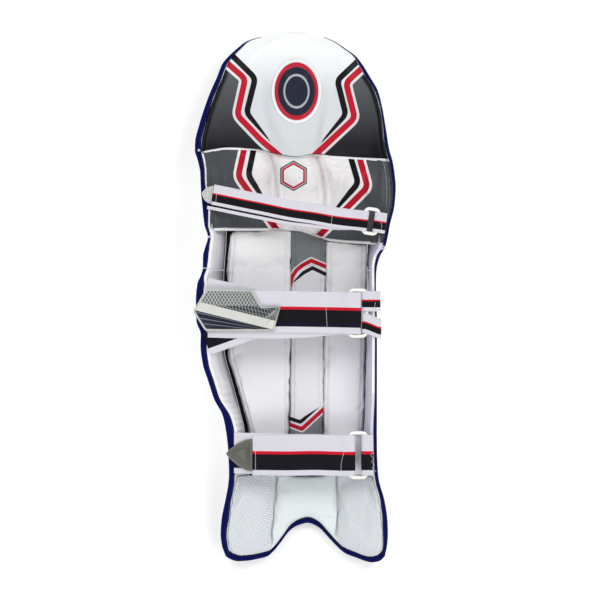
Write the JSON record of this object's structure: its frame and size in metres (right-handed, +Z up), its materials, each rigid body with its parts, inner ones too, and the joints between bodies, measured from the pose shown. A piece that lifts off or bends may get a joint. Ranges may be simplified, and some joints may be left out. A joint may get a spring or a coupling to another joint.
{
  "type": "cricket batting leg guard",
  "caption": "Cricket batting leg guard lying on its front face, with padded wings, knee cushion, shin bolsters, flared instep and fastened straps.",
  "frame": {"origin": "on the floor under the middle of the guard, which lies on its front face", "axes": "+Z up, out of the leg side; +Y from the instep to the top of the thigh flap; +X to the right of someone looking down into the guard"},
  "size_m": [0.2776, 0.73, 0.1247],
  "materials": {
    "facing": "white coated leather over foam, fine grain, semi-gloss",
    "lining": "coated leather lining, white with dark grey side panels and red and black stripes",
    "knee": "coated leather knee cushion, white with grey panels and red and black stripes",
    "mesh_fabric": "fine white knitted mesh over foam",
    "spacer_mesh": "white spacer mesh with a diagonal diamond texture",
    "binding": "navy woven binding tape, stitched",
    "webbing": "woven strap with white, red and black bands, and plain white undersides",
    "ring_plastic": "cream-white moulded plastic",
    "tip_rubber": "moulded soft rubber with raised grip ribs",
    "badge": "moulded oval badge with a red rim and a plain knurled field"
  },
  "bodies": {
    "root": {"top_hat": "facing", "shin_face": "facing", "knee_roll_upper": "facing", "knee_roll_middle": "facing", "knee_roll_lower": "facing", "wing_left_upper": "mesh_fabric", "wing_left_lower": "mesh_fabric", "wing_right_upper": "mesh_fabric", "wing_right_lower": "mesh_fabric", "instep_flare": "facing", "edge_binding": "binding", "hat_lining": "lining", "badge": "badge", "knee_cushion": "knee", "shin_bolster_left": "mesh_fabric", "shin_strip": "lining", "shin_bolster_right": "mesh_fabric", "instep_pad_left": "spacer_mesh", "instep_tongue": "lining", "instep_pad_right": "spacer_mesh", "top_strap": "webbing", "top_ring_loop": "webbing", "top_ring": "ring_plastic", "top_strap_tip": "tip_rubber", "middle_strap_arm_upper": "webbing", "middle_strap_arm_lower": "webbing", "middle_strap": "webbing", "middle_ring_loop_upper": "webbing", "middle_ring_loop_lower": "webbing", "middle_ring": "ring_plastic", "pull_tab": "tip_rubber", "bottom_strap": "webbing", "bottom_ring_loop": "webbing", "bottom_ring": "ring_plastic", "bottom_strap_tip": "tip_rubber"}
  },
  "joints": []
}
